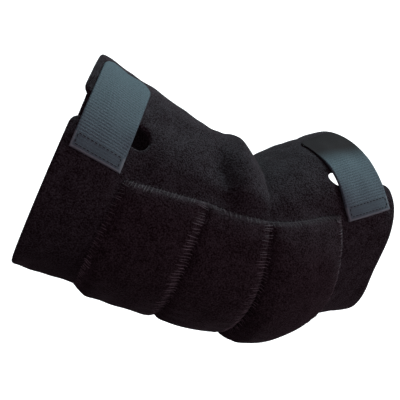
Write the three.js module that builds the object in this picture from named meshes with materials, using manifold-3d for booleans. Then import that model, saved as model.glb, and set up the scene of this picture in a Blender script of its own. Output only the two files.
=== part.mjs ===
// Elbow protector: a soft sleeve with a quilted three-channel pad over the elbow point and a
// strap across a tightening slot at each end, in the form it has on a bent arm.
// Millimetres, +Z up. The origin is the elbow's centre on the arm's own line. The upper arm
// leaves along -X, the forearm bends away towards +Y, and +Z is the side with the straps.
import * as THREE from 'three';
import { mergeVertices } from 'three/addons/utils/BufferGeometryUtils.js';
import Module from 'manifold-3d';

const wasm = await Module();
wasm.setup();

// Driving dimensions. A station is a distance along the arm's line, 0 at the elbow. An angle is
// measured round the arm in degrees: 0 at the elbow point, 90 at the straps' side, 180 in the crook.
const FLEX_DEG = 45;
const BEND_START = -40;
const BEND_END = 35;
const ELBOW_RADIUS = 44.4;
const WALL = 3;
const GAP = 0.35;

// The sleeve's outside, as half sizes towards the elbow point, the crook and the two sides.
const SECTIONS = [
  { station: -85, point: 54.2, crook: 54.9, side: 51.9 },
  { station: -47, point: 49.0, crook: 49.6, side: 46.2 },
  { station: -17, point: 43.4, crook: 42.7, side: 44.2 },
  { station: 9, point: 43.4, crook: 44.2, side: 44.8 },
  { station: 32, point: 40.2, crook: 44.7, side: 45.2 },
  { station: 63, point: 43.3, crook: 47.5, side: 44.2 },
];

// Each rim is a ring at its station, slanted by the cosine and sine of the angle. The forearm strap
// pulls its rim outwards round its sewn end.
const UPPER_RIM = { station: -85.2, byCosine: 3.7, bySine: -0.6, pull: 0 };
const FOREARM_RIM = { station: 63.3, byCosine: -1.4, bySine: 0.4, pull: 5.2 };
const PULL = { angle: 64, spread: 22 };

// Where the forearm end stands off the arm, its wall runs flat between two angles.
const FLAT = { angle: 10, spread: 25, depth: 3.2, startStation: 34, fullStation: 62 };

// The crook's crease and the roll of cloth that the upper arm's side pushes over it. Both grow from
// nothing to their full size between two angles, and the crease curves forward into the crook.
const CREASE = { depth: 9.5, gentleRun: 15 };
const CREASE_GROWTH = { startAngle: 48, fullAngle: 128 };
const CREASE_LINE = { sideStation: 5.2, crookStation: 12.5, startAngle: 75, fullAngle: 135 };

// The roll is narrow and high on the arm's sides, and broad and low in the crook.
const SIDE_ROLL = { steepRun: 9, steepness: 2.6, before: 11, spread: 4.5, height: 5 };
const CROOK_ROLL = { steepRun: 12, steepness: 1.6, before: 10.5, spread: 6, height: 1.9 };
const ROLL_CHANGE = { startAngle: 66, fullAngle: 108 };

// Slanting dents on the straps' side: under the roll, and above the pad's edge.
const DENTS = [
  { station: -15, angle: 82, slantDeg: 74, length: 13, breadth: 5, depth: 3.7 },
  { station: -20, angle: 62, slantDeg: 4, length: 8, breadth: 2.6, depth: 1.1 },
];

// The pad's seams across the arm, its upper edge at each, and the puff of the channel that follows.
// A lean above 1 moves the channel's top towards the forearm. A lower fullness, at the channel's first
// seam, at its last one or at the pad's upper edge, gives a flatter top and a steeper end.
const PAD = { lowAngle: -68, edge: 1.6, fullness: 0.35 };
const PAD_SEAMS = [
  { station: -51, highAngle: 51, puff: 2.2, lean: 1, first: 0.95, last: 0.5, upper: 0.35 },
  { station: -17.5, highAngle: 58.2, puff: 2.5, lean: 1.3, first: 0.5, last: 0.5, upper: 0.45 },
  { station: 4.5, highAngle: 55.2, puff: 7.4, lean: 0.76, first: 0.5, last: 0.85, upper: 0.9 },
  { station: 36.5, highAngle: 54.7 },
];

// Straps are sewn down at their first angle and end in round corners at their last one. On the way
// they drift along the arm, evenly with a bend of 1 and mostly near their start with a lower one. A skew
// sets the strap's forearm side further round the arm than its other side.
const STRAP = { width: 25, thickness: 1.4, cornerRadius: 6 };
const STRAPS = [
  { name: 'upper', station: -66.5, drift: -4.8, bend: 1, startAngle: 52, endAngle: 113.5, skew: 0 },
  { name: 'forearm', station: 52, drift: -3.2, bend: 0.5, startAngle: 52.5, endAngle: 123, skew: 0.19 },
];

// Tightening slots: open at the rim between two round corners, with a round end.
const SLOT = { half: 4.9, mouthRadius: 4.5, pastRim: 12, cutDepth: 30 };
const SLOTS = [
  { rim: UPPER_RIM, inward: 1, endStation: -48.5, angle: 75.5 },
  { rim: FOREARM_RIM, inward: -1, endStation: 36.2, angle: 79 },
];

// Mesh steps. The sleeve's rows gather towards the crease by their two powers.
const ROWS = { beforeCrease: 23, afterCrease: 15, gatherBefore: 1.35, gatherAfter: 1.25 };
const AROUND = 48;
const PAD_STEPS = { perChannel: 8, around: 20 };
const STRAP_STEPS = { across: 5, straight: 16, corner: 6 };
const SLOT_STEPS = 12;
const LINE_STEPS = 48;
const MERGE_DISTANCE = 1e-4;

// Cloth colours.
const BRUSHED_BLACK = new THREE.MeshStandardMaterial({ color: 0x17151a, roughness: 0.95, metalness: 0 });
const PAD_BLACK = new THREE.MeshStandardMaterial({ color: 0x151217, roughness: 0.95, metalness: 0 });
const SLATE_WEBBING = new THREE.MeshStandardMaterial({ color: 0x45535c, roughness: 0.8, metalness: 0 });

const toRadians = THREE.MathUtils.degToRad;
const smoothBetween = (x, start, end) => THREE.MathUtils.smoothstep(x, start, end);
const STEEPEST_SMOOTH = 1.5;
const lerp = THREE.MathUtils.lerp;
const gauss = (x) => Math.exp(-x * x);

// One column of the section table at any station, on a cubic through its rows.
function sectionValue(column, station) {
  const last = SECTIONS.length - 1;
  let row = 0;
  while (row < last - 1 && station > SECTIONS[row + 1].station) row += 1;
  const slopeAt = (index) => {
    const low = SECTIONS[Math.max(index - 1, 0)];
    const high = SECTIONS[Math.min(index + 1, last)];
    return (high[column] - low[column]) / (high.station - low.station);
  };
  const [start, end] = [SECTIONS[row], SECTIONS[row + 1]];
  const run = end.station - start.station;
  const t = THREE.MathUtils.clamp((station - start.station) / run, 0, 1);
  const rise = slopeAt(row) * run;
  const finish = slopeAt(row + 1) * run;
  const change = end[column] - start[column];
  const cubic = rise + finish - 2 * change;
  const square = 3 * change - 2 * rise - finish;
  return start[column] + t * (rise + t * (square + t * cubic));
}

// The arm's line: its direction turns smoothly from the upper arm's to the forearm's.
const turnAt = (station) => toRadians(FLEX_DEG) * smoothBetween(station, BEND_START, BEND_END);

function linePoint(station) {
  const step = station / LINE_STEPS;
  const point = new THREE.Vector2();
  for (let k = 0; k < LINE_STEPS; k += 1) {
    const turn = turnAt((k + 0.5) * step);
    point.x += Math.cos(turn) * step;
    point.y += Math.sin(turn) * step;
  }
  return point;
}

// Axes at a station and angle: along the arm, round it, and straight out of it.
function axesAt(station, angleDeg) {
  const turn = turnAt(station);
  const angle = toRadians(angleDeg);
  const along = new THREE.Vector3(Math.cos(turn), Math.sin(turn), 0);
  const toPoint = new THREE.Vector3(Math.sin(turn), -Math.cos(turn), 0);
  const up = new THREE.Vector3(0, 0, 1);
  const out = toPoint.clone().multiplyScalar(Math.cos(angle)).addScaledVector(up, Math.sin(angle));
  const round = toPoint.clone().multiplyScalar(-Math.sin(angle)).addScaledVector(up, Math.cos(angle));
  return { along, round, out, toPoint, up };
}

// How much shorter a step along the arm is in the crook than on the arm's line.
function stepScale(angleDeg) {
  const bendRate = (STEEPEST_SMOOTH * toRadians(FLEX_DEG)) / (BEND_END - BEND_START);
  return 1 + bendRate * ELBOW_RADIUS * Math.min(Math.cos(toRadians(angleDeg)), 0);
}

function creaseStation(angleDeg) {
  const { sideStation, crookStation, startAngle, fullAngle } = CREASE_LINE;
  return lerp(sideStation, crookStation, smoothBetween(Math.abs(angleDeg), startAngle, fullAngle));
}

// How far the crease sinks in and its roll stands out.
function creaseLift(station, angleDeg) {
  const past = (station - creaseStation(angleDeg)) * stepScale(angleDeg);
  const share = smoothBetween(Math.abs(angleDeg), CREASE_GROWTH.startAngle, CREASE_GROWTH.fullAngle);
  if (past > 0) return -share * CREASE.depth * Math.exp(-past / CREASE.gentleRun);
  const crook = smoothBetween(Math.abs(angleDeg), ROLL_CHANGE.startAngle, ROLL_CHANGE.fullAngle);
  const rollValue = (name) => lerp(SIDE_ROLL[name], CROOK_ROLL[name], crook);
  const groove = CREASE.depth * Math.max(0, 1 + past / rollValue('steepRun')) ** rollValue('steepness');
  const roll = rollValue('height') * gauss((past + rollValue('before')) / rollValue('spread'));
  return share * (roll - groove);
}

function dentDepth(station, angleDeg) {
  let depth = 0;
  for (const dent of DENTS) {
    const slant = toRadians(dent.slantDeg);
    const run = station - dent.station;
    const rise = ELBOW_RADIUS * toRadians(angleDeg - dent.angle);
    const lengthways = (run * Math.cos(slant) - rise * Math.sin(slant)) / dent.length;
    const crossways = (run * Math.sin(slant) + rise * Math.cos(slant)) / dent.breadth;
    depth += dent.depth * gauss(lengthways) * gauss(crossways);
  }
  return depth;
}

function flatDepth(station, angleDeg) {
  const share = smoothBetween(station, FLAT.startStation, FLAT.fullStation);
  return FLAT.depth * share * gauss((angleDeg - FLAT.angle) / FLAT.spread);
}

// A point on the sleeve's outside, lifted off it by a distance.
function surfacePoint(station, angleDeg, lift) {
  const angle = toRadians(angleDeg);
  const { toPoint, up } = axesAt(station, angleDeg);
  const centre = linePoint(station);
  const folds = creaseLift(station, angleDeg) - dentDepth(station, angleDeg) - flatDepth(station, angleDeg);
  const offset = folds + lift;
  const reach = sectionValue(Math.cos(angle) > 0 ? 'point' : 'crook', station) + offset;
  const side = sectionValue('side', station) + offset;
  return new THREE.Vector3(centre.x, centre.y, 0)
    .addScaledVector(toPoint, reach * Math.cos(angle))
    .addScaledVector(up, side * Math.sin(angle));
}

function rimStation(rim, angleDeg) {
  const angle = toRadians(angleDeg);
  const slant = rim.byCosine * Math.cos(angle) + rim.bySine * Math.sin(angle);
  return rim.station + slant + rim.pull * gauss((angleDeg - PULL.angle) / PULL.spread);
}

// A closed solid between two grids of points: pointAt(row, column, isOuter). A ring closes on itself.
function sheetGeometry(rows, columns, isRing, pointAt) {
  const perRow = isRing ? columns : columns + 1;
  const positions = [];
  for (const isOuter of [true, false]) {
    for (let row = 0; row <= rows; row += 1) {
      for (let column = 0; column < perRow; column += 1) {
        positions.push(...pointAt(row, column, isOuter).toArray());
      }
    }
  }
  const outer = (row, column) => row * perRow + (column % perRow);
  const inner = (row, column) => (rows + 1) * perRow + outer(row, column);
  const triangles = [];
  const quad = (a, b, c, d) => triangles.push(a, b, c, a, c, d);
  for (let row = 0; row < rows; row += 1) {
    for (let column = 0; column < columns; column += 1) {
      const corners = [[row, column], [row + 1, column], [row + 1, column + 1], [row, column + 1]];
      quad(...corners.map(([r, c]) => outer(r, c)));
      quad(...corners.map(([r, c]) => inner(r, c)).reverse());
    }
  }
  for (let column = 0; column < columns; column += 1) {
    quad(outer(0, column), outer(0, column + 1), inner(0, column + 1), inner(0, column));
    quad(outer(rows, column + 1), outer(rows, column), inner(rows, column), inner(rows, column + 1));
  }
  for (let row = 0; row < rows && !isRing; row += 1) {
    quad(outer(row + 1, 0), outer(row, 0), inner(row, 0), inner(row + 1, 0));
    quad(outer(row, columns), outer(row + 1, columns), inner(row + 1, columns), inner(row, columns));
  }
  const geometry = new THREE.BufferGeometry();
  geometry.setAttribute('position', new THREE.Float32BufferAttribute(positions, 3));
  geometry.setIndex(triangles);
  return geometry;
}

function toSolid(geometry) {
  const plain = geometry.clone();
  plain.deleteAttribute('normal');
  plain.deleteAttribute('uv');
  const merged = mergeVertices(plain, MERGE_DISTANCE);
  return new wasm.Manifold(new wasm.Mesh({
    numProp: 3,
    vertProperties: new Float32Array(merged.attributes.position.array),
    triVerts: new Uint32Array(merged.index.array),
  }));
}

function toGeometry(solid) {
  const mesh = solid.getMesh();
  const geometry = new THREE.BufferGeometry();
  geometry.setAttribute('position', new THREE.BufferAttribute(new Float32Array(mesh.vertProperties), 3));
  geometry.setIndex(new THREE.BufferAttribute(new Uint32Array(mesh.triVerts), 1));
  return geometry;
}

// The cutter for a slot: a tongue with a round end and a flared mouth, standing out through the wall.
function slotCutter(slot) {
  const { half, mouthRadius, pastRim, cutDepth } = SLOT;
  const mouthStation = rimStation(slot.rim, slot.angle);
  const roundStart = Math.abs(slot.endStation - mouthStation) - half;
  const outline = new THREE.Shape();
  outline.moveTo(-pastRim, -half - mouthRadius);
  outline.lineTo(0, -half - mouthRadius);
  outline.absarc(mouthRadius, -half - mouthRadius, mouthRadius, Math.PI, Math.PI / 2, true);
  outline.lineTo(roundStart, -half);
  outline.absarc(roundStart, 0, half, -Math.PI / 2, Math.PI / 2, false);
  outline.lineTo(mouthRadius, half);
  outline.absarc(mouthRadius, half + mouthRadius, mouthRadius, -Math.PI / 2, -Math.PI, true);
  outline.lineTo(-pastRim, half + mouthRadius);
  const geometry = new THREE.ExtrudeGeometry(outline, {
    depth: cutDepth, bevelEnabled: false, curveSegments: SLOT_STEPS,
  });
  const middle = (mouthStation + slot.endStation) / 2;
  const { along, round, out } = axesAt(middle, slot.angle);
  const foot = surfacePoint(middle, slot.angle, -cutDepth / 2)
    .addScaledVector(along, mouthStation - middle);
  along.multiplyScalar(slot.inward);
  round.multiplyScalar(slot.inward);
  geometry.applyMatrix4(new THREE.Matrix4().makeBasis(along, round, out).setPosition(foot));
  return toSolid(geometry);
}

// The sleeve: a bent tube whose rows follow both rims and the crease, less the two slots.
function sleeveGeometry() {
  const rows = ROWS.beforeCrease + ROWS.afterCrease;
  const tube = sheetGeometry(rows, AROUND, true, (row, column, isOuter) => {
    const angle = (360 * column) / AROUND - 180;
    const fold = creaseStation(angle);
    const upper = row <= ROWS.beforeCrease;
    const share = upper
      ? 1 - (1 - row / ROWS.beforeCrease) ** ROWS.gatherBefore
      : ((row - ROWS.beforeCrease) / ROWS.afterCrease) ** ROWS.gatherAfter;
    const station = upper
      ? lerp(rimStation(UPPER_RIM, angle), fold, share)
      : lerp(fold, rimStation(FOREARM_RIM, angle), share);
    return surfacePoint(station, angle, isOuter ? 0 : -WALL);
  });
  return toGeometry(SLOTS.reduce((solid, slot) => solid.subtract(slotCutter(slot)), toSolid(tube)));
}

// A dome over the span from 0 to 1, with height 1 in the middle.
const dome = (x) => 4 * x * (1 - x);

// The pad: one panel quilted into channels, each a pillow between its seams.
function padGeometry() {
  const channels = PAD_SEAMS.length - 1;
  const rows = channels * PAD_STEPS.perChannel;
  return sheetGeometry(rows, PAD_STEPS.around, false, (row, column, isOuter) => {
    const channel = Math.min(Math.floor(row / PAD_STEPS.perChannel), channels - 1);
    const across = row / PAD_STEPS.perChannel - channel;
    const [seam, nextSeam] = [PAD_SEAMS[channel], PAD_SEAMS[channel + 1]];
    const round = column / PAD_STEPS.around;
    const station = lerp(seam.station, nextSeam.station, across);
    const angle = lerp(PAD.lowAngle, lerp(seam.highAngle, nextSeam.highAngle, across), round);
    const lengthways = dome(across ** seam.lean) ** lerp(seam.first, seam.last, across);
    const pillow = lengthways * dome(round) ** (round > 0.5 ? seam.upper : PAD.fullness);
    return surfacePoint(station, angle, GAP + (isOuter ? PAD.edge + seam.puff * pillow : 0));
  });
}

// A strap: a flat band round the arm, which narrows only in its two round corners.
function strapGeometry(strap) {
  const { width, thickness, cornerRadius } = STRAP;
  const radius = sectionValue('side', strap.station) + GAP;
  const cornerAngle = THREE.MathUtils.radToDeg(cornerRadius / radius);
  const straightEnd = strap.endAngle - cornerAngle;
  const { across, straight, corner } = STRAP_STEPS;
  return sheetGeometry(across, straight + corner, false, (row, column, isOuter) => {
    const cornerTurn = ((Math.max(0, column - straight) / corner) * Math.PI) / 2;
    const middleAngle = column <= straight
      ? lerp(strap.startAngle, straightEnd, column / straight)
      : straightEnd + cornerAngle * Math.sin(cornerTurn);
    const half = width / 2 - cornerRadius * (1 - Math.cos(cornerTurn));
    const aside = half * ((2 * row) / across - 1);
    const angle = middleAngle + THREE.MathUtils.radToDeg((strap.skew * aside) / radius);
    const share = THREE.MathUtils.inverseLerp(strap.startAngle, strap.endAngle, angle);
    const middle = strap.station + strap.drift * THREE.MathUtils.clamp(share, 0, 1) ** strap.bend;
    return surfacePoint(middle + aside, angle, GAP + (isOuter ? thickness : 0));
  });
}

function piece(name, geometry, material) {
  geometry.computeVertexNormals();
  const mesh = new THREE.Mesh(geometry, material);
  mesh.name = name;
  return mesh;
}

const protector = new THREE.Group();
protector.add(piece('sleeve', sleeveGeometry(), BRUSHED_BLACK));
protector.add(piece('pocket_panel', padGeometry(), PAD_BLACK));
for (const strap of STRAPS) {
  protector.add(piece(`${strap.name}_strap`, strapGeometry(strap), SLATE_WEBBING));
}

export default protector;
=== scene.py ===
"""Looks of the elbow protector: brushed cloth sleeve, quilted pad, webbing straps and their stitching.

Each piece follows the part's own sizes in millimetres and is made in metres, in the part's frame.
A station is a distance along the arm's line, 0 at the elbow. An angle goes round the arm in degrees:
0 at the elbow point, 90 on the straps' side and 180 in the crook. A lift stands off the sleeve's outside.
"""
import math

import bpy
import numpy as np
from mathutils import Matrix, Vector


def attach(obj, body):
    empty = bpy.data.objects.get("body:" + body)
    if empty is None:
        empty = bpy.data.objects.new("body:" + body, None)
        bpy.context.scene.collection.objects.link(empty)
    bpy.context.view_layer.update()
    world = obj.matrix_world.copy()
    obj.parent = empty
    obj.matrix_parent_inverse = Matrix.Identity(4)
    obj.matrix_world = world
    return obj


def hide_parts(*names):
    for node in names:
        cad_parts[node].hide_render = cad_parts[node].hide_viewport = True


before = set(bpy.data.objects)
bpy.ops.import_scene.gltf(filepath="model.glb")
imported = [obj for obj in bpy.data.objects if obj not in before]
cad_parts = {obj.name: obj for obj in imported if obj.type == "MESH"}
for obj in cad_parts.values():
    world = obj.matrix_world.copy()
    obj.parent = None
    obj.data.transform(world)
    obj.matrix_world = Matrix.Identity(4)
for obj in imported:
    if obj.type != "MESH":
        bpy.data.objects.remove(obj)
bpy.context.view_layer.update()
MM = 0.001

# The arm's line and the sleeve's outside, close to the part's, with a deeper crease and more dents.
FLEX_DEG = 45.0
BEND_START, BEND_END = -40.0, 35.0
ELBOW_RADIUS = 44.4
WALL = 3.0
GAP = 0.35
SECTION_STATIONS = np.array([-85.0, -47.0, -17.0, 9.0, 32.0, 63.0])
SECTIONS = {
    "point": np.array([54.2, 49.0, 43.4, 43.4, 40.2, 43.3]),
    "crook": np.array([54.9, 49.6, 42.7, 44.2, 44.7, 47.5]),
    "side": np.array([51.9, 46.2, 44.2, 44.8, 45.4, 44.7]),
}
# Where a rim is pulled along the arm: how far, at which angle and over how many degrees.
FOREARM_PULLS = [(5.6, 60.0, 22.0), (-1.0, 12.0, 22.0), (3.2, -38.0, 26.0)]
UPPER_RIM = {"station": -85.2, "by_cosine": 3.7, "by_sine": -0.6, "pulls": []}
FOREARM_RIM = {"station": 63.3, "by_cosine": -1.4, "by_sine": 0.4, "pulls": FOREARM_PULLS}
FLAT = {"angle": 10.0, "spread": 25.0, "depth": 3.2, "start": 34.0, "full": 62.0}
CREASE = {"depth": 11.8, "gentle_run": 15.0, "tuck": 0.2, "tuck_run": 3.0}
CREASE_GROWTH = {"start": 44.0, "full": 128.0}
CREASE_LINE = {"side": 5.2, "crook": 12.5, "start": 75.0, "full": 135.0}
SIDE_ROLL = {"steep_run": 9.0, "steepness": 2.6, "before": 11.0, "spread": 4.5, "height": 5.0}
CROOK_ROLL = {"steep_run": 12.0, "steepness": 1.6, "before": 10.5, "spread": 6.0, "height": 1.9}
ROLL_CHANGE = {"start": 66.0, "full": 108.0}
DENTS = [
    {"station": -15, "angle": 82, "slant": 74, "length": 13, "above": 4, "below": 7, "depth": 4.4},
    {"station": -10, "angle": 62, "slant": 6, "length": 14, "above": 4.5, "below": 26, "depth": 2},
    {"station": -48, "angle": 63, "slant": 0, "length": 13, "above": 6, "below": 20, "depth": 1.4},
    {"station": 27, "angle": 60, "slant": 0, "length": 12, "above": 7, "below": 14, "depth": 1.5},
    {"station": -40, "angle": 96, "slant": -28, "length": 14, "above": 8, "below": 7, "depth": 1.8},
]

# The pad's seams across the arm, its upper edge at each and the puff of the channel that follows. A lower
# fullness gives a flatter top and a steeper end: at a channel's two seams, and at the pad's upper edge.
PAD = {"low": -68.0, "edge": 1.6, "edge_run": 2.4, "first_run": 7.0, "last_run": 3.0, "fullness": 0.35}
PAD_SEAMS = np.array([-51.0, -17.5, 4.5, 36.5])
PAD_HIGH = np.array([51.0, 58.2, 55.2, 54.7])
PAD_PUFF = np.array([1.15, 1.45, 6.3])
PAD_LEAN = np.array([1.0, 1.3, 0.76])
PAD_FULLNESS = np.array([[0.95, 0.5], [0.5, 0.5], [0.5, 0.85]])
PAD_TOP_FULLNESS = np.array([0.35, 0.45, 0.9])
# The pad's cloth is blown up at a larger scale, with some slack, and may move by the cap at most.
PAD_CLOTH = {"rows": 14, "columns": 56, "frames": 20, "pressure": 4.0, "slack": 0.04, "cap": 1.0,
             "scale": 0.1}
PAD_CELL = 0.8
SEAM_VALLEY = {"depth": 0.25, "breadth": 1.8}
PUCKER = {"height": 0.16, "from_seam": 3.0, "reach": 4.0, "pitch": 6.3, "sway": 1.7, "sway_run": 9.0}
SEAM_DIP = {"depth": 1.4, "above": 7.5, "below": 24.0, "fade": 6.0}

# Slow unevenness of worn cloth: height, waves along the arm, waves round it and phase.
CLOTH_WAVES = [
    (0.16, 0.21, 3.0, 0.4),
    (0.12, -0.33, 5.0, 2.1),
    (0.09, 0.47, 8.0, 4.0),
    (0.07, 0.62, -11.0, 1.2),
]

# The sleeve's mesh, its round edges and its two slots.
EDGE_RADIUS = WALL / 2
EDGE_STEPS = 8
SLEEVE_ROWS = {"before": 84, "after": 56, "gather_before": 1.25, "gather_after": 1.2}
SLEEVE_AROUND = 252
SLOT = {"half": 4.9, "mouth_radius": 4.5, "step": 0.2, "snap": 0.62, "catch": 1.2, "even": 0.7}
SLOT_SEARCH = {"around": 16.0, "past_end": 6.0}
SLOTS = [
    {"rim": UPPER_RIM, "inward": 1.0, "end": -48.5, "angle": 75.5},
    {"rim": FOREARM_RIM, "inward": -1.0, "end": 36.2, "angle": 79.0},
]

# Straps, sewn down at their start and rounded at their end. Past its plain angles a strap is smooth
# and dark.
STRAP = {"width": 25.0, "thickness": 1.4, "plain_thickness": 0.6, "corner": 6.0, "edge_height": 0.35,
         "columns": 44, "gather": 0.6}
STRAPS = [
    {"node": "upper_strap", "station": -66.5, "drift": -4.8, "bend": 1.0, "start": 52.0, "end": 113.5,
     "skew": 0.0, "plain": (200.0, 201.0)},
    {"node": "forearm_strap", "station": 52.0, "drift": -3.2, "bend": 0.5, "start": 52.5, "end": 123.0,
     "skew": 0.19, "plain": (86.0, 104.0)},
]
RIB = {"pitch": 1.35, "height": 0.08, "steps": 6, "flat": 0.6, "flat_on_panel": 0.7}
PANEL = {"length": 7.0, "blur": 0.5}
HEM = {"breadth": 1.0, "blur": 0.35}

# Stitching: overcast threads along the pad's edges and seams, which reach into the pad, and a box of dark
# stitches at each strap's sewn end.
OVERCAST = {"pitch": 1.5, "inside": 2.6, "outside": 0.5, "radius": 0.2, "rise": 0.06, "points": 7}
SEAM_REACH = [2.6, 2.6, 2.9, 4.6]
LOOSENESS = {"pitch": 0.45, "slant": 0.7, "start": 0.3, "end": 0.9}
BOX_STITCH = {"near": 2.0, "far": 6.5, "side": 1.9, "length": 1.3, "pitch": 1.9, "radius": 0.2,
              "sunk": 0.08, "rise": 0.1, "points": 6}
THREAD_SIDES = 6
THREAD_ASIDE = (0.31, 0.17, 0.93)
RANDOM = np.random.default_rng(11)

# Photo's camera: its direction from the elbow, roll, distance and where the elbow lands in the frame.
CAMERA = {"azimuth": -3.8, "elevation": 42.4, "roll": 29.1, "distance": 0.700}
FOCAL_PIXELS = 1489.0
FRAME_PIXELS = 400.0
ELBOW_PIXEL = (221.7, 230.5)
SENSOR_MM = 36.0

# Soft lights: direction in the photo's right, up and back, distance and size in metres, power and colour.
LIGHTS = [
    ("top_softbox", (0.5, 1.0, -0.15), 1.2, 0.5, 14.5, (0.8, 0.99, 1.0)),
    ("front_softbox", (0.2, 0.25, 1.0), 1.4, 0.9, 3.2, (1.0, 0.66, 0.78)),
    ("right_softbox", (1.0, -0.25, 0.3), 1.4, 0.6, 7.0, (1.0, 0.76, 0.84)),
    ("left_softbox", (-1.0, -0.2, 0.3), 1.4, 0.9, 3.5, (1.0, 0.7, 0.8)),
]
ROOM_LIGHT = {"color": (1.0, 0.56, 0.72, 1.0), "strength": 0.045}
FLOOR = {"half": 4.0, "height": -0.45, "color": (0.95, 0.95, 0.95), "glow": 0.75}


def smooth_between(x, start, end):
    t = np.clip((x - start) / (end - start), 0.0, 1.0)
    return t * t * (3.0 - 2.0 * t)


def gauss(x):
    return np.exp(-x * x)


def lerp(a, b, t):
    return a + (b - a) * t


def section_value(column, station):
    """One column of the section table at any station, on a cubic through its rows."""
    stations, values = SECTION_STATIONS, SECTIONS[column]
    index = np.arange(len(stations))
    low, high = np.maximum(index - 1, 0), np.minimum(index + 1, len(stations) - 1)
    slopes = (values[high] - values[low]) / (stations[high] - stations[low])
    row = np.searchsorted(stations[1:-1], station, side="left")
    run = stations[row + 1] - stations[row]
    t = np.clip((station - stations[row]) / run, 0.0, 1.0)
    rise, finish = slopes[row] * run, slopes[row + 1] * run
    change = values[row + 1] - values[row]
    cubic = rise + finish - 2.0 * change
    square = 3.0 * change - 2.0 * rise - finish
    return values[row] + t * (rise + t * (square + t * cubic))


def turn_at(station):
    return math.radians(FLEX_DEG) * smooth_between(station, BEND_START, BEND_END)


LINE_STATIONS = np.linspace(-120.0, 100.0, 2201)
LINE_MIDDLES = (LINE_STATIONS[1:] + LINE_STATIONS[:-1]) / 2
LINE_STEP = LINE_STATIONS[1] - LINE_STATIONS[0]
LINE_X = np.concatenate([[0.0], np.cumsum(np.cos(turn_at(LINE_MIDDLES)) * LINE_STEP)])
LINE_Y = np.concatenate([[0.0], np.cumsum(np.sin(turn_at(LINE_MIDDLES)) * LINE_STEP)])


def line_point(station):
    """The arm's line, through the origin at station 0."""
    x = np.interp(station, LINE_STATIONS, LINE_X) - np.interp(0.0, LINE_STATIONS, LINE_X)
    y = np.interp(station, LINE_STATIONS, LINE_Y) - np.interp(0.0, LINE_STATIONS, LINE_Y)
    return x, y


def crease_station(angle):
    share = smooth_between(np.abs(angle), CREASE_LINE["start"], CREASE_LINE["full"])
    return lerp(CREASE_LINE["side"], CREASE_LINE["crook"], share)


def crease_lift(station, angle):
    """How far the crook's crease sinks in and the roll before it stands out."""
    # A smooth step is steepest in its middle, at 1.5 times its mean slope.
    bend_rate = 1.5 * math.radians(FLEX_DEG) / (BEND_END - BEND_START)
    step_scale = 1.0 + bend_rate * ELBOW_RADIUS * np.minimum(np.cos(np.radians(angle)), 0.0)
    past = (station - crease_station(angle)) * step_scale
    share = smooth_between(np.abs(angle), CREASE_GROWTH["start"], CREASE_GROWTH["full"])
    forward = np.maximum(past, 0.0)
    tuck = CREASE["tuck"] * np.exp(-forward / CREASE["tuck_run"])
    after = -CREASE["depth"] * (tuck + (1.0 - CREASE["tuck"]) * np.exp(-forward / CREASE["gentle_run"]))
    crook = smooth_between(np.abs(angle), ROLL_CHANGE["start"], ROLL_CHANGE["full"])
    size = {name: lerp(SIDE_ROLL[name], CROOK_ROLL[name], crook) for name in SIDE_ROLL}
    groove = np.maximum(0.0, 1.0 + np.minimum(past, 0.0) / size["steep_run"]) ** size["steepness"]
    roll = size["height"] * gauss((past + size["before"]) / size["spread"])
    before = roll - CREASE["depth"] * groove
    return share * np.where(past > 0.0, after, before)


def dent_depth(station, angle):
    depth = 0.0
    for dent in DENTS:
        slant = math.radians(dent["slant"])
        run = station - dent["station"]
        rise = ELBOW_RADIUS * np.radians(angle - dent["angle"])
        lengthways = (run * math.cos(slant) - rise * math.sin(slant)) / dent["length"]
        crossways = run * math.sin(slant) + rise * math.cos(slant)
        breadth = np.where(crossways > 0.0, dent["above"], dent["below"])
        depth = depth + dent["depth"] * gauss(lengthways) * gauss(crossways / breadth)
    return depth


def pad_high(station):
    return np.interp(station, PAD_SEAMS, PAD_HIGH)


def seam_dip(station, angle):
    """How far the sleeve is drawn in along the pad's upper seam."""
    fade = SEAM_DIP["fade"]
    first = smooth_between(station, PAD_SEAMS[0] - fade, PAD_SEAMS[0] + fade)
    last = 1.0 - smooth_between(station, PAD_SEAMS[-1] - fade, PAD_SEAMS[-1] + fade)
    rise = ELBOW_RADIUS * np.radians(angle - pad_high(station))
    breadth = np.where(rise > 0.0, SEAM_DIP["above"], SEAM_DIP["below"])
    return SEAM_DIP["depth"] * first * last * gauss(rise / breadth)


def flat_depth(station, angle):
    share = smooth_between(station, FLAT["start"], FLAT["full"])
    return FLAT["depth"] * share * gauss((angle - FLAT["angle"]) / FLAT["spread"])


def cloth_waves(station, angle):
    total = 0.0
    for height, along, around, phase in CLOTH_WAVES:
        total = total + height * np.sin(along * station + np.radians(around * angle) + phase)
    return total


def surface_point(station, angle, lift):
    """Points on the sleeve's outside, lifted off it."""
    station, angle, lift = np.broadcast_arrays(*(np.asarray(v, float) for v in (station, angle, lift)))
    radians, turn = np.radians(angle), turn_at(station)
    offset = crease_lift(station, angle) - dent_depth(station, angle) - flat_depth(station, angle)
    offset = offset - seam_dip(station, angle) + cloth_waves(station, angle) + lift
    point, crook = section_value("point", station), section_value("crook", station)
    reach = (np.where(np.cos(radians) > 0.0, point, crook) + offset) * np.cos(radians)
    height = (section_value("side", station) + offset) * np.sin(radians)
    x, y = line_point(station)
    return np.stack([x + np.sin(turn) * reach, y - np.cos(turn) * reach, height], axis=-1)


def surface_normal(station, angle, lift):
    step = 0.2
    along = surface_point(station + step, angle, lift) - surface_point(station - step, angle, lift)
    around = surface_point(station, angle + step, lift) - surface_point(station, angle - step, lift)
    return unit(np.cross(along, around))


def unit(vectors):
    return vectors / np.linalg.norm(vectors, axis=-1, keepdims=True)


def rim_station(rim, angle):
    radians = np.radians(angle)
    station = rim["station"] + rim["by_cosine"] * np.cos(radians) + rim["by_sine"] * np.sin(radians)
    for reach, middle, spread in rim["pulls"]:
        station = station + reach * gauss((angle - middle) / spread)
    return station


# Materials.

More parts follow.
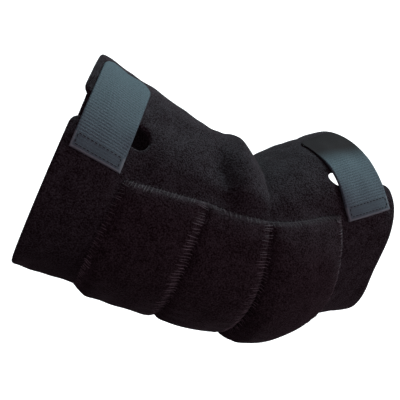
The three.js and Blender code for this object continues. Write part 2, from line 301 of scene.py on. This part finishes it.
def new_material(name):
    material = bpy.data.materials.new(name)
    material.use_nodes = True
    nodes = material.node_tree.nodes
    shader = nodes["Principled BSDF"]
    return material, nodes, material.node_tree.links, shader


def noise(nodes, links, place, scale, detail, roughness):
    texture = nodes.new("ShaderNodeTexNoise")
    texture.inputs["Scale"].default_value = scale
    texture.inputs["Detail"].default_value = detail
    texture.inputs["Roughness"].default_value = roughness
    links.new(place, texture.inputs["Vector"])
    return texture.outputs["Fac"]


def ramp(nodes, links, source, stops):
    node = nodes.new("ShaderNodeValToRGB")
    elements = node.color_ramp.elements
    while len(elements) < len(stops):
        elements.new(0.5)
    for element, (position, color) in zip(elements, stops):
        element.position = position
        element.color = (*color, 1.0)
    links.new(source, node.inputs["Fac"])
    return node.outputs["Color"]


def math_node(nodes, links, operation, a, b):
    node = nodes.new("ShaderNodeMath")
    node.operation = operation
    for socket, value in zip(node.inputs, (a, b)):
        if isinstance(value, float):
            socket.default_value = value
        else:
            links.new(value, socket)
    return node.outputs["Value"]


def mix_colors(nodes, links, blend, factor, a, b):
    node = nodes.new("ShaderNodeMix")
    node.data_type = "RGBA"
    node.blend_type = blend
    sockets = {"Factor_Float": factor, "A_Color": a, "B_Color": b}
    for socket in node.inputs:
        value = sockets.get(socket.identifier)
        if value is None:
            continue
        if isinstance(value, bpy.types.NodeSocket):
            links.new(value, socket)
        else:
            socket.default_value = value
    return next(s for s in node.outputs if s.identifier == "Result_Color")


def bump(nodes, links, height, strength, distance):
    node = nodes.new("ShaderNodeBump")
    node.inputs["Strength"].default_value = strength
    node.inputs["Distance"].default_value = distance
    links.new(height, node.inputs["Height"])
    return node.outputs["Normal"]


def brushed_cloth(name, dark, light, sheen):
    """Brushed loop cloth: pale fibre tips scattered over a near-black ground."""
    material, nodes, links, shader = new_material(name)
    place = nodes.new("ShaderNodeTexCoord").outputs["Object"]
    speckle = noise(nodes, links, place, scale=1450.0, detail=2.0, roughness=0.65)
    mottle = noise(nodes, links, place, scale=160.0, detail=2.0, roughness=0.5)
    tips = math_node(nodes, links, "ADD", speckle, math_node(nodes, links, "MULTIPLY", mottle, 0.2))
    color = ramp(nodes, links, tips, [(0.47, dark), (0.77, light)])
    links.new(color, shader.inputs["Base Color"])
    links.new(bump(nodes, links, speckle, strength=0.9, distance=0.0005), shader.inputs["Normal"])
    shader.inputs["Roughness"].default_value = 1.0
    shader.inputs["Specular IOR Level"].default_value = 0.1
    shader.inputs["Sheen Weight"].default_value = sheen
    shader.inputs["Sheen Roughness"].default_value = 0.3
    shader.inputs["Sheen Tint"].default_value = (0.9, 0.95, 1.0, 1.0)
    return material


def webbing_cloth(name, slate, groove, panel_grey, hem_grey, end_grey):
    """Ribbed elastic webbing. Its "lay" gives millimetres across and along, and the ribs; its "finish"
    gives the shares of the sewn panel, the turned hem and the plain dark end."""
    material, nodes, links, shader = new_material(name)
    splits = {}
    for attribute_name in ("lay", "finish"):
        attribute = nodes.new("ShaderNodeAttribute")
        attribute.attribute_name = attribute_name
        split = nodes.new("ShaderNodeSeparateXYZ")
        links.new(attribute.outputs["Vector"], split.inputs["Vector"])
        splits[attribute_name] = (attribute.outputs["Vector"], split.outputs)
    lay, (_, _, rib) = splits["lay"]
    _, (panel, hem, end) = splits["finish"]
    mapping = nodes.new("ShaderNodeMapping")
    mapping.inputs["Scale"].default_value = (1.3, 2.2, 0.0)
    links.new(lay, mapping.inputs["Vector"])
    grain = noise(nodes, links, mapping.outputs["Vector"], scale=1.0, detail=3.0, roughness=0.8)
    weave = math_node(nodes, links, "ADD", math_node(nodes, links, "MULTIPLY", rib, 0.1), grain)
    color = ramp(nodes, links, weave, [(0.36, groove), (0.72, slate)])
    for share, grey in ((panel, panel_grey), (hem, hem_grey), (end, end_grey)):
        tint = mix_colors(nodes, links, "MIX", 0.92, color, (*grey, 1.0))
        color = mix_colors(nodes, links, "MIX", share, color, tint)
    links.new(color, shader.inputs["Base Color"])
    links.new(bump(nodes, links, grain, strength=0.5, distance=0.0003), shader.inputs["Normal"])
    shader.inputs["Roughness"].default_value = 0.8
    shader.inputs["Specular IOR Level"].default_value = 0.15
    return material


def thread_cloth(name, dark, light):
    """Sewing thread: its fibres and its wear vary between a dark and a light colour."""
    material, nodes, links, shader = new_material(name)
    place = nodes.new("ShaderNodeTexCoord").outputs["Object"]
    wear = noise(nodes, links, place, scale=110.0, detail=2.0, roughness=0.6)
    fibres = noise(nodes, links, place, scale=700.0, detail=2.0, roughness=0.6)
    twist = math_node(nodes, links, "MULTIPLY", fibres, 0.5)
    twist = math_node(nodes, links, "ADD", twist, math_node(nodes, links, "MULTIPLY", wear, 0.5))
    links.new(ramp(nodes, links, twist, [(0.38, dark), (0.62, light)]), shader.inputs["Base Color"])
    links.new(bump(nodes, links, twist, strength=0.4, distance=0.0002), shader.inputs["Normal"])
    shader.inputs["Roughness"].default_value = 0.7
    shader.inputs["Specular IOR Level"].default_value = 0.3
    return material


def plain_floor(name, color, glow):
    material, _, _, shader = new_material(name)
    shader.inputs["Base Color"].default_value = (*color, 1.0)
    shader.inputs["Roughness"].default_value = 1.0
    shader.inputs["Specular IOR Level"].default_value = 0.0
    shader.inputs["Emission Color"].default_value = (*color, 1.0)
    shader.inputs["Emission Strength"].default_value = glow
    return material


def grid_quads(grid):
    """The faces between the points of a grid, given as point numbers."""
    corners = [grid[:-1, :-1], grid[1:, :-1], grid[1:, 1:], grid[:-1, 1:]]
    return np.stack([corner.ravel() for corner in corners], axis=1)


def closed_sheet(top, bottom, order):
    """A closed form between two grids that meet along their edges. Order 1 or -1 sets its outside."""
    rows, columns = top.shape[:2]
    index = np.arange(rows * columns).reshape(rows, columns)
    back = index + rows * columns
    back[[0, -1], :] = index[[0, -1], :]
    back[:, [0, -1]] = index[:, [0, -1]]
    quads = np.concatenate([grid_quads(index)[:, ::order], grid_quads(back)[:, ::-order]])
    points = np.concatenate([top.reshape(-1, 3), bottom.reshape(-1, 3)])
    used, faces = np.unique(quads, return_inverse=True)
    return points[used], faces.reshape(-1, 4).tolist(), used


def make_piece(name, points, faces, material):
    """A smooth mesh piece from points in millimetres, riding on the part's one body."""
    mesh = bpy.data.meshes.new(name)
    mesh.from_pydata((np.asarray(points) * MM).tolist(), [], faces)
    mesh.shade_smooth()
    mesh.materials.append(material)
    piece = bpy.data.objects.new(name, mesh)
    bpy.context.scene.collection.objects.link(piece)
    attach(piece, "root")
    return piece


# The sleeve.

def slot_place(slot, station, angle):
    """A place in a slot's own measures: millimetres inwards from its rim, and round the arm."""
    inwards = (station - rim_station(slot["rim"], angle)) * slot["inward"]
    return inwards, np.radians(angle - slot["angle"]) * ELBOW_RADIUS


def slot_spot(slot, place):
    """The station and angle of places in a slot's own measures."""
    angle = slot["angle"] + np.degrees(place[:, 1] / ELBOW_RADIUS)
    return rim_station(slot["rim"], angle) + slot["inward"] * place[:, 0], angle


def slot_sizes(slot):
    """A slot's half breadth and its mouth's radius, set back by the round edge, the place of the mouth's
    centre aside of the slot, and where the slot's round end starts."""
    half, flare = SLOT["half"] + EDGE_RADIUS, SLOT["mouth_radius"] - EDGE_RADIUS
    length = abs(slot["end"] - rim_station(slot["rim"], slot["angle"]))
    return half, flare, SLOT["half"] + SLOT["mouth_radius"], length - SLOT["half"]


def along_curve(steps, marks, corners):
    """Points on a curve through corners, at steps that are counted as its marks are."""
    return np.stack([np.interp(steps, marks, corners[:, axis]) for axis in (0, 1)], axis=1)


def slot_outline(slot):
    """The slot's edge from one side of its mouth round its end to the other."""
    half, flare, centre, round_start = slot_sizes(slot)
    turn = np.linspace(0.0, math.pi / 2, 16)
    mouth = np.stack([SLOT["mouth_radius"] - flare * np.cos(turn), centre - flare * np.sin(turn)], axis=1)
    swing = np.linspace(math.pi / 2, -math.pi / 2, 40)
    end = np.stack([round_start + half * np.cos(swing), half * np.sin(swing)], axis=1)
    corners = np.concatenate([mouth, end, mouth[::-1] * (1.0, -1.0)])
    reach = np.concatenate([[0.0], np.cumsum(np.linalg.norm(np.diff(corners, axis=0), axis=1))])
    steps = np.linspace(0.0, reach[-1], int(reach[-1] / SLOT["step"]))
    return along_curve(steps, reach, corners)


def in_slot(slot, inwards, around):
    """Whether places lie in the slot, its mouth included."""
    half, flare, centre, round_start = slot_sizes(slot)
    mouth = centre - np.sqrt(np.maximum(flare ** 2 - (SLOT["mouth_radius"] - inwards) ** 2, 0.0))
    end = np.sqrt(np.maximum(half ** 2 - (inwards - round_start) ** 2, 0.0))
    reach = np.where(inwards < SLOT["mouth_radius"], mouth, np.where(inwards < round_start, half, end))
    return np.abs(around) < reach


def to_outline(slot, station, angle):
    """The step of the slot's outline next to each place, and its distance."""
    inwards, around = slot_place(slot, station, angle)
    outline = slot_outline(slot)
    gaps = np.hypot(inwards[:, None] - outline[:, 0], around[:, None] - outline[:, 1])
    return gaps.argmin(axis=1), gaps.min(axis=1)


def cut_slot(slot, station, angle, faces):
    """Moves the grid's points near a slot onto its edge, and drops the faces inside it."""
    outline = slot_outline(slot)
    inwards, around = slot_place(slot, station, angle)
    deepest = outline[:, 0].max() + SLOT_SEARCH["past_end"]
    near = np.nonzero((np.abs(around) < SLOT_SEARCH["around"]) & (inwards < deepest))[0]
    step, gap = to_outline(slot, station[near], angle[near])
    caught = gap < SLOT["snap"]
    on_edge = np.zeros(len(station), bool)
    on_edge[near[caught]] = True
    station[near[caught]], angle[near[caught]] = slot_spot(slot, outline[step[caught]])
    inwards, around = slot_place(slot, station, angle)
    middle = in_slot(slot, inwards[faces].mean(axis=1), around[faces].mean(axis=1))
    faces = faces[~(middle | on_edge[faces].all(axis=1))]
    used = np.zeros(len(station), bool)
    used[faces] = True
    loose = np.nonzero(used & ~on_edge & in_slot(slot, inwards, around))[0]
    step, _ = to_outline(slot, station[loose], angle[loose])
    station[loose], angle[loose] = slot_spot(slot, outline[step])
    return faces


def even_edge(slot, loop, station, angle):
    """Spaces a loop's points evenly along a slot's edge, in order."""
    step, gap = to_outline(slot, station[loop], angle[loop])
    on_edge = gap < SLOT["catch"]
    if not on_edge.any():
        return
    first = np.nonzero(on_edge & ~np.roll(on_edge, 1))[0][0]
    run = np.roll(np.arange(len(loop)), -first)
    run = run[on_edge[run]]
    ordered = np.sort(step[run])
    ordered = lerp(ordered, np.linspace(ordered[0], ordered[-1], len(run)), SLOT["even"])
    if step[run[0]] > step[run[-1]]:
        ordered = ordered[::-1]
    outline = slot_outline(slot)
    place = along_curve(ordered, np.arange(len(outline)), outline)
    station[loop[run]], angle[loop[run]] = slot_spot(slot, place)


def edge_loops(faces):
    """The open edges of a sheet, as loops of points in the order of its faces."""
    edges = np.concatenate([faces[:, [k, (k + 1) % 4]] for k in range(4)])
    known = set(map(tuple, edges))
    following = {a: b for a, b in known if (b, a) not in known}
    loops = []
    while following:
        start = next(iter(following))
        loop = [start]
        while following.get(loop[-1]) is not None:
            step = following.pop(loop[-1])
            if step == start:
                break
            loop.append(step)
        loops.append(np.array(loop))
    return loops


def build_sleeve(material):
    """A bent tube of thick cloth with round edges, cut open by its two slots."""
    angles = np.linspace(-180.0, 180.0, SLEEVE_AROUND, endpoint=False)
    fold = crease_station(angles)
    before = 1.0 - (1.0 - np.linspace(0.0, 1.0, SLEEVE_ROWS["before"] + 1)) ** SLEEVE_ROWS["gather_before"]
    after = np.linspace(0.0, 1.0, SLEEVE_ROWS["after"] + 1)[1:] ** SLEEVE_ROWS["gather_after"]
    upper = rim_station(UPPER_RIM, angles) + EDGE_RADIUS
    lower = rim_station(FOREARM_RIM, angles) - EDGE_RADIUS
    station = np.concatenate([lerp(upper, fold, before[:, None]), lerp(fold, lower, after[:, None])])
    rows, columns = station.shape
    angle = np.tile(angles, (rows, 1)).ravel()
    station = station.ravel()
    row, column = (grid.ravel() for grid in np.mgrid[0:rows - 1, 0:columns])
    beside = (column + 1) % columns
    corners = [row * columns + column, (row + 1) * columns + column,
               (row + 1) * columns + beside, row * columns + beside]
    faces = np.stack(corners, axis=1)
    for slot in SLOTS:
        faces = cut_slot(slot, station, angle, faces)
    used, faces = np.unique(faces, return_inverse=True)
    faces = faces.reshape(-1, 4)
    station, angle = station[used], angle[used]
    count = len(used)
    loops = edge_loops(faces)
    for slot in SLOTS:
        for loop in loops:
            even_edge(slot, loop, station, angle)
    points = [surface_point(station, angle, 0.0), surface_point(station, angle, -WALL)]
    quads = [faces, faces[:, ::-1] + count]
    total = 2 * count
    for loop in loops:
        middle = surface_point(station[loop], angle[loop], -EDGE_RADIUS)
        forward = unit(np.roll(middle, -2, axis=0) - np.roll(middle, 2, axis=0))
        out = surface_normal(station[loop], angle[loop], -EDGE_RADIUS)
        away = unit(np.cross(forward, out))
        strips = [loop]
        for step in range(1, EDGE_STEPS):
            turn = math.pi * step / EDGE_STEPS
            points.append(middle + EDGE_RADIUS * (away * math.sin(turn) + out * math.cos(turn)))
            strips.append(total + np.arange(len(loop)))
            total += len(loop)
        strips.append(loop + count)
        for strip, below in zip(strips, strips[1:]):
            quads.append(np.stack([np.roll(strip, -1), strip, below, np.roll(below, -1)], axis=1))
    piece = make_piece("sleeve_cloth", np.concatenate(points), np.concatenate(quads).tolist(),
                       material)
    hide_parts("sleeve")


# The pad.

def dome(x):
    return np.maximum(4.0 * x * (1.0 - x), 0.0)


def pad_share(station):
    """The channel that a station lies in, and how far across it."""
    channel = np.clip(np.searchsorted(PAD_SEAMS, station, side="right") - 1, 0, len(PAD_PUFF) - 1)
    across = (station - PAD_SEAMS[channel]) / (PAD_SEAMS[channel + 1] - PAD_SEAMS[channel])
    return channel, np.clip(across, 0.0, 1.0)


def pillow_lift(station, angle):
    """Plain pillows between sewn seams, closed down onto the sleeve along the pad's edges."""
    channel, across = pad_share(station)
    around = np.clip((angle - PAD["low"]) / (pad_high(station) - PAD["low"]), 0.0, 1.0)
    fullness = lerp(PAD_FULLNESS[channel, 0], PAD_FULLNESS[channel, 1], across)
    round_fullness = np.where(around > 0.5, PAD_TOP_FULLNESS[channel], PAD["fullness"])
    pillow = dome(across ** PAD_LEAN[channel]) ** fullness * dome(around) ** round_fullness
    arc = math.radians(1.0) * ELBOW_RADIUS
    to_round = np.minimum(angle - PAD["low"], pad_high(station) - angle) * arc
    from_first, to_last = station - PAD_SEAMS[0], PAD_SEAMS[-1] - station
    to_end = np.minimum(from_first, to_last)
    end_share = np.minimum(from_first / PAD["first_run"], to_last / PAD["last_run"])
    to_edge = np.clip(np.minimum(to_round / PAD["edge_run"], end_share), 0.0, 1.0)
    edge = PAD["edge"] * smooth_between(to_edge, 0.0, 1.0)
    to_seam = np.abs(station[..., None] - PAD_SEAMS[1:-1]).min(axis=-1)
    valley = SEAM_VALLEY["depth"] * gauss(to_seam / SEAM_VALLEY["breadth"])
    near_seam = np.minimum(to_seam, np.minimum(np.abs(to_end), np.abs(to_round)))
    run = np.where(to_round < np.minimum(to_seam, to_end), station, angle * arc)
    sway = PUCKER["sway"] * np.sin(run / PUCKER["sway_run"])
    gathers = np.sin(2.0 * math.pi * run / PUCKER["pitch"] + sway)
    pucker = PUCKER["height"] * gathers * gauss((near_seam - PUCKER["from_seam"]) / PUCKER["reach"])
    return GAP + edge * (1.0 - valley / PAD["edge"]) + to_edge * (PAD_PUFF[channel] * pillow + pucker)


def pad_grid(channel_rows, columns):
    """The rows' stations, and each point's station and angle, of a grid over the pad and its channels."""
    channels = zip(PAD_SEAMS, PAD_SEAMS[1:], channel_rows)
    steps = [np.linspace(start, end, rows, endpoint=False) for start, end, rows in channels]
    stations = np.concatenate(steps + [PAD_SEAMS[-1:]])
    station = np.repeat(stations[:, None], columns, axis=1)
    return stations, station, lerp(PAD["low"], pad_high(station), np.linspace(0.0, 1.0, columns))


def blown_cloth():
    """Stations of a coarse grid over the pad, and how far its cloth swells there between the sewn lines."""
    stations, station, angle = pad_grid([PAD_CLOTH["rows"]] * len(PAD_PUFF), PAD_CLOTH["columns"] + 1)
    rows, columns = station.shape
    points = surface_point(station, angle, pillow_lift(station, angle)).reshape(-1, 3) * PAD_CLOTH["scale"]
    index = np.arange(rows * columns).reshape(rows, columns)
    mesh = bpy.data.meshes.new("trial_cloth")
    mesh.from_pydata(points.tolist(), [], grid_quads(index).tolist())
    trial = bpy.data.objects.new("trial_cloth", mesh)
    bpy.context.scene.collection.objects.link(trial)
    sewn = np.concatenate([index[::PAD_CLOTH["rows"]].ravel(), index[:, 0], index[:, -1]])
    trial.vertex_groups.new(name="sewn").add(np.unique(sewn).tolist(), 1.0, "REPLACE")
    cloth = trial.modifiers.new("cloth", "CLOTH")
    cloth.settings.vertex_group_mass = "sewn"
    cloth.settings.use_pressure = True
    cloth.settings.uniform_pressure_force = PAD_CLOTH["pressure"]
    cloth.settings.shrink_min = -PAD_CLOTH["slack"]
    cloth.settings.effector_weights.gravity = 0.0
    cloth.point_cache.frame_end = PAD_CLOTH["frames"]
    for frame in range(1, PAD_CLOTH["frames"] + 1):
        bpy.context.scene.frame_set(frame)
    blown = trial.evaluated_get(bpy.context.evaluated_depsgraph_get()).data
    moved = np.array([vertex.co for vertex in blown.vertices]) - points
    normal = np.array([vertex.normal for vertex in mesh.vertices])
    swell = (moved * normal).sum(axis=1).reshape(rows, columns) / PAD_CLOTH["scale"]
    bpy.data.objects.remove(trial)
    bpy.data.meshes.remove(mesh)
    bpy.context.scene.frame_set(1)
    return stations, PAD_CLOTH["cap"] * np.tanh(swell / PAD_CLOTH["cap"])


def curve_weight(gap):
    """The share of a grid point in a smooth curve that passes it by a gap of up to two steps."""
    gap = np.abs(gap)
    close = 1.0 - 2.5 * gap ** 2 + 1.5 * gap ** 3
    far = 2.0 - 4.0 * gap + 2.5 * gap ** 2 - 0.5 * gap ** 3
    return np.where(gap < 1.0, close, np.where(gap < 2.0, far, 0.0))


def pad_lift(station, angle):
    """The pad's outside: the plain pillows and the swelling of their cloth, read smoothly from its grid."""
    stations, swell = PAD_SWELL
    last_row, last_column = swell.shape[0] - 1, swell.shape[1] - 1
    row = np.interp(station, stations, np.arange(last_row + 1))
    around = (angle - PAD["low"]) / (pad_high(station) - PAD["low"])
    column = np.clip(around, 0.0, 1.0) * last_column
    lift = pillow_lift(station, angle)
    for row_step in range(-1, 3):
        near_row = np.floor(row).astype(int) + row_step
        for column_step in range(-1, 3):
            near_column = np.floor(column).astype(int) + column_step
            height = swell[np.clip(near_row, 0, last_row), np.clip(near_column, 0, last_column)]
            lift = lift + height * curve_weight(row - near_row) * curve_weight(column - near_column)
    return lift


def build_pad(material):
    """The quilted panel over the elbow point, as one closed form on the sleeve."""
    channel_rows = [int(round(breadth / PAD_CELL)) for breadth in np.diff(PAD_SEAMS)]
    columns = int(round(math.radians(PAD_HIGH.mean() - PAD["low"]) * ELBOW_RADIUS / PAD_CELL)) + 1
    _, station, angle = pad_grid(channel_rows, columns)
    outer = surface_point(station, angle, pad_lift(station, angle))
    inner = surface_point(station, angle, GAP)
    points, faces, _ = closed_sheet(outer, inner, 1)
    piece = make_piece("padded_panel", points, faces, material)
    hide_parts("pocket_panel")


# Straps.

def strap_station(strap, angle):
    share = np.clip((angle - strap["start"]) / (strap["end"] - strap["start"]), 0.0, 1.0)
    return strap["station"] + strap["drift"] * share ** strap["bend"]


def strap_radius(strap):
    return section_value("side", np.array(strap["station"])) + GAP


def strap_length(strap):
    return math.radians(strap["end"] - strap["start"]) * strap_radius(strap)


def strap_place(strap, along, across):
    """Station and angle of a place on a strap: millimetres from its sewn end and from its middle."""
    angle = strap["start"] + np.degrees((along + strap["skew"] * across) / strap_radius(strap))
    return strap_station(strap, angle) + across, angle


def build_strap(strap, material):
    """A woven band with cross ribs, round selvages and round corners at its free end."""
    length, half = strap_length(strap), STRAP["width"] / 2
    steps = int(length / RIB["pitch"] * RIB["steps"])
    along = np.linspace(0.0, length, steps + 1)
    even = np.linspace(-1.0, 1.0, STRAP["columns"] + 1)
    spread = lerp(even, np.sin(even * math.pi / 2), STRAP["gather"])
    past = np.clip((along - (length - STRAP["corner"])) / STRAP["corner"], 0.0, 1.0)
    narrow = STRAP["corner"] * (1.0 - np.sqrt(1.0 - past ** 2))
    across = (half - narrow)[:, None] * spread
    along = np.repeat(along[:, None], len(spread), axis=1)
    to_side = (half - narrow)[:, None] - np.abs(across)
    to_edge = np.minimum(np.minimum(to_side, along), length - along) / (STRAP["thickness"] / 2)
    swell = np.sqrt(1.0 - (1.0 - np.clip(to_edge, 0.0, 1.0)) ** 2)
    rib = 0.5 - 0.5 * np.cos(2.0 * math.pi * along / RIB["pitch"])
    station, angle = strap_place(strap, along, across)
    plain = smooth_between(angle, *strap["plain"])
    panel = 1.0 - smooth_between(along, PANEL["length"] - PANEL["blur"], PANEL["length"] + PANEL["blur"])
    to_hem = np.minimum(along, to_side) - HEM["breadth"]
    hem = panel * (1.0 - smooth_between(to_hem, -HEM["blur"], HEM["blur"]))
    rib = lerp(rib, RIB["flat"], np.maximum(plain, RIB["flat_on_panel"] * panel))
    thickness = lerp(STRAP["thickness"], STRAP["plain_thickness"], plain)
    low, high = STRAP["edge_height"], 1.0 - STRAP["edge_height"]
    top = GAP + thickness * (low + high * swell) - RIB["height"] * (1.0 - rib) * swell
    bottom = GAP + thickness * low * (1.0 - swell)
    over, under = surface_point(station, angle, top), surface_point(station, angle, bottom)
    points, faces, used = closed_sheet(over, under, -1)
    piece = make_piece(strap["node"].replace("strap", "webbing"), points, faces, material)
    layers = {"lay": (across, along, rib), "finish": (panel, hem, plain)}
    for name, values in layers.items():
        attribute = piece.data.attributes.new(name, "FLOAT_VECTOR", "POINT")
        values = np.tile(np.stack(values, axis=-1).reshape(-1, 3), (2, 1))[used]
        attribute.data.foreach_set("vector", values.astype(np.float32).ravel())
    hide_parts(strap["node"])


# Stitching.

def thread_tube(path, radius):
    """One short thread: a round tube along a few points, drawn in at both ends."""
    path = np.asarray(path)
    forward = unit(np.gradient(path, axis=0))
    side = unit(np.cross(forward, THREAD_ASIDE))
    over = np.cross(forward, side)
    taper = np.sqrt(np.clip(dome(np.linspace(0.03, 0.97, len(path))), 0.05, 1.0)) ** 0.5
    turn = np.linspace(0.0, 2.0 * math.pi, THREAD_SIDES, endpoint=False)
    ring = np.cos(turn)[:, None, None] * side + np.sin(turn)[:, None, None] * over
    points = (path + radius * taper[:, None] * ring).transpose(1, 0, 2).reshape(-1, 3)
    faces = []
    for step in range(len(path) - 1):
        for k in range(THREAD_SIDES):
            a, b = step * THREAD_SIDES + k, step * THREAD_SIDES + (k + 1) % THREAD_SIDES
            faces.append((a, b, b + THREAD_SIDES, a + THREAD_SIDES))
    faces.append(tuple(range(THREAD_SIDES))[::-1])
    last = (len(path) - 1) * THREAD_SIDES
    faces.append(tuple(range(last, last + THREAD_SIDES)))
    return points, faces


def join_threads(name, threads, material):
    points, faces, total = [], [], 0
    for thread_points, thread_faces in threads:
        points.append(thread_points)
        faces.extend(tuple(total + k for k in face) for face in thread_faces)
        total += len(thread_points)
    make_piece(name, np.concatenate(points), faces, material)


def overcast_row(place, length, start, end):
    """Loose threads across a seam. Its place gives station and angle from a run along it and a reach."""
    share = np.linspace(0.0, 1.0, OVERCAST["points"])
    count = int(length / OVERCAST["pitch"])
    looseness = RANDOM.uniform(-1.0, 1.0, (count, len(LOOSENESS))) * list(LOOSENESS.values())
    threads = []
    for k, (shift, slant, early, late) in enumerate(looseness):
        run = (k + 0.5) * OVERCAST["pitch"] + shift + slant * share
        station, angle = place(run, lerp(start + early, end + late, share))
        inside = (station > PAD_SEAMS[0]) & (station < PAD_SEAMS[-1]) & (angle > PAD["low"])
        inside = inside & (angle < pad_high(station))
        lift = np.where(inside, pad_lift(station, angle), GAP / 2)
        lift = lift + OVERCAST["rise"] * np.sqrt(dome(share))
        threads.append(thread_tube(surface_point(station, angle, lift), OVERCAST["radius"]))
    return threads


def build_pad_stitching(seam_material_painted_light, edge_material_painted_shade):
    """Threads over the seams across the pad, and along its upper and lower edges."""
    arc = math.degrees(1.0 / ELBOW_RADIUS)
    threads = []
    for k, (seam, high, inside) in enumerate(zip(PAD_SEAMS, PAD_HIGH, SEAM_REACH)):
        side = 1.0 if k == 0 else -1.0
        threads += overcast_row(lambda run, reach: (seam + side * reach, PAD["low"] + run * arc),
                                (high - PAD["low"]) / arc, -OVERCAST["outside"], inside)
    # The seam threads take the thread painted lighter, as painted light in the seams' shaded valleys.
    join_threads("pad_seam_stitching", threads, seam_material_painted_light)
    first, length = PAD_SEAMS[0], PAD_SEAMS[-1] - PAD_SEAMS[0]
    threads = overcast_row(lambda run, reach: (first + run, pad_high(first + run) - reach * arc),
                           length, -OVERCAST["outside"], OVERCAST["inside"])
    threads += overcast_row(lambda run, reach: (first + run, PAD["low"] + reach * arc),
                            length, -OVERCAST["outside"], OVERCAST["inside"])
    # The edge threads take the same thread painted darker, as painted shade where the pad's edge faces the
    # top light.
    join_threads("pad_edge_stitching", threads, edge_material_painted_shade)


def build_box_stitching(material):
    """A rectangle of dark stitches at each strap's sewn end."""
    threads = []
    steps = np.linspace(0.0, 1.0, BOX_STITCH["points"])
    side = STRAP["width"] / 2 - BOX_STITCH["side"]
    near, far = BOX_STITCH["near"], BOX_STITCH["far"]
    corners = [(near, -side), (near, side), (far, side), (far, -side), (near, -side)]
    for strap in STRAPS:
        for (along_a, across_a), (along_b, across_b) in zip(corners, corners[1:]):
            run = math.hypot(along_b - along_a, across_b - across_a)
            count = max(2, int(round(run / BOX_STITCH["pitch"])))
            for k in range(count):
                middle = (k + 0.5) / count
                share = middle + (steps - 0.5) * BOX_STITCH["length"] / run
                along, across = lerp(along_a, along_b, share), lerp(across_a, across_b, share)
                station, angle = strap_place(strap, along, across)
                lift = GAP + STRAP["thickness"] - BOX_STITCH["sunk"] + BOX_STITCH["rise"] * dome(steps)
                threads.append(thread_tube(surface_point(station, angle, lift), BOX_STITCH["radius"]))
    join_threads("strap_stitching", threads, material)


# Camera, light and floor.

def photo_axes():
    """The photo's own right, up and backward directions."""
    azimuth, elevation, roll = (math.radians(CAMERA[k]) for k in ("azimuth", "elevation", "roll"))
    back = Vector((math.sin(azimuth) * math.cos(elevation), -math.cos(azimuth) * math.cos(elevation),
                   math.sin(elevation)))
    level = Vector((math.cos(azimuth), math.sin(azimuth), 0.0))
    upright = back.cross(level)
    right = math.cos(roll) * level + math.sin(roll) * upright
    up = math.cos(roll) * upright - math.sin(roll) * level
    return right, up, back


def build_camera():
    right, up, back = photo_axes()
    aside = (FRAME_PIXELS / 2 - ELBOW_PIXEL[0]) / FOCAL_PIXELS
    above = (ELBOW_PIXEL[1] - FRAME_PIXELS / 2) / FOCAL_PIXELS
    backward = (back - right * aside - up * above).normalized()
    sideways = up.cross(backward).normalized()
    upward = backward.cross(sideways)
    turn = Matrix((sideways, upward, backward)).transposed().to_4x4()
    data = bpy.data.cameras.new("photo_camera")
    data.sensor_width = SENSOR_MM
    data.lens = FOCAL_PIXELS * SENSOR_MM / FRAME_PIXELS
    camera = bpy.data.objects.new("photo_camera", data)
    camera.matrix_world = Matrix.Translation(back * CAMERA["distance"]) @ turn
    bpy.context.scene.collection.objects.link(camera)
    bpy.context.scene.camera = camera


def softbox(name, direction, distance, size, power, color):
    data = bpy.data.lights.new(name, "AREA")
    data.shape = "DISK"
    data.size = size
    data.energy = power
    data.color = color
    light = bpy.data.objects.new(name, data)
    light.location = direction.normalized() * distance
    light.rotation_euler = direction.to_track_quat("Z", "Y").to_euler()
    bpy.context.scene.collection.objects.link(light)


def build_stage():
    """Soft lights, a faint glow of the room and a pale floor that throws no light back."""
    right, up, back = photo_axes()
    for name, (to_right, to_up, to_back), distance, size, power, color in LIGHTS:
        direction = to_right * right + to_up * up + to_back * back
        softbox(name, direction, distance, size, power, color)
    world = bpy.data.worlds.new("soft_room")
    world.use_nodes = True
    background = world.node_tree.nodes["Background"]
    background.inputs["Color"].default_value = ROOM_LIGHT["color"]
    background.inputs["Strength"].default_value = ROOM_LIGHT["strength"]
    bpy.context.scene.world = world
    bpy.context.scene.view_settings.view_transform = "Standard"
    half, height = FLOOR["half"], FLOOR["height"]
    corners = [(-half, -half, height), (half, -half, height), (half, half, height), (-half, half, height)]
    mesh = bpy.data.meshes.new("floor")
    mesh.from_pydata(corners, [], [(0, 1, 2, 3)])
    mesh.materials.append(plain_floor("pale_floor", FLOOR["color"], FLOOR["glow"]))
    floor = bpy.data.objects.new("floor", mesh)
    floor.visible_diffuse = False
    floor.visible_glossy = False
    bpy.context.scene.collection.objects.link(floor)


FLEECE = brushed_cloth("brushed_black", dark=(0.0048, 0.0014, 0.0024),
                       light=(0.043, 0.041, 0.047), sheen=0.1)
PAD_FLEECE = brushed_cloth("pad_black", dark=(0.0048, 0.0013, 0.0023),
                           light=(0.042, 0.034, 0.040), sheen=0.08)
SLATE = webbing_cloth("slate_webbing", slate=(0.117, 0.173, 0.197), groove=(0.033, 0.05, 0.058),
                      panel_grey=(0.07, 0.105, 0.12), hem_grey=(0.15, 0.188, 0.203),
                      end_grey=(0.007, 0.0005, 0.0005))
# One sewing thread, painted lighter in the seams' shaded valleys and darker on the pad's lit edges.
SEAM_THREAD_PAINTED_LIGHT = thread_cloth("seam_thread_painted_light", dark=(0.014, 0.010, 0.012), light=(0.115, 0.101, 0.115))
EDGE_THREAD_PAINTED_SHADE = thread_cloth("edge_thread_painted_shade", dark=(0.010, 0.007, 0.008), light=(0.085, 0.077, 0.084))
DARK_THREAD = thread_cloth("dark_thread", dark=(0.006, 0.007, 0.009), light=(0.016, 0.018, 0.02))

PAD_SWELL = blown_cloth()
build_sleeve(FLEECE)
build_pad(PAD_FLEECE)
for strap in STRAPS:
    build_strap(strap, SLATE)
build_pad_stitching(SEAM_THREAD_PAINTED_LIGHT, EDGE_THREAD_PAINTED_SHADE)
build_box_stitching(DARK_THREAD)
build_camera()
build_stage()
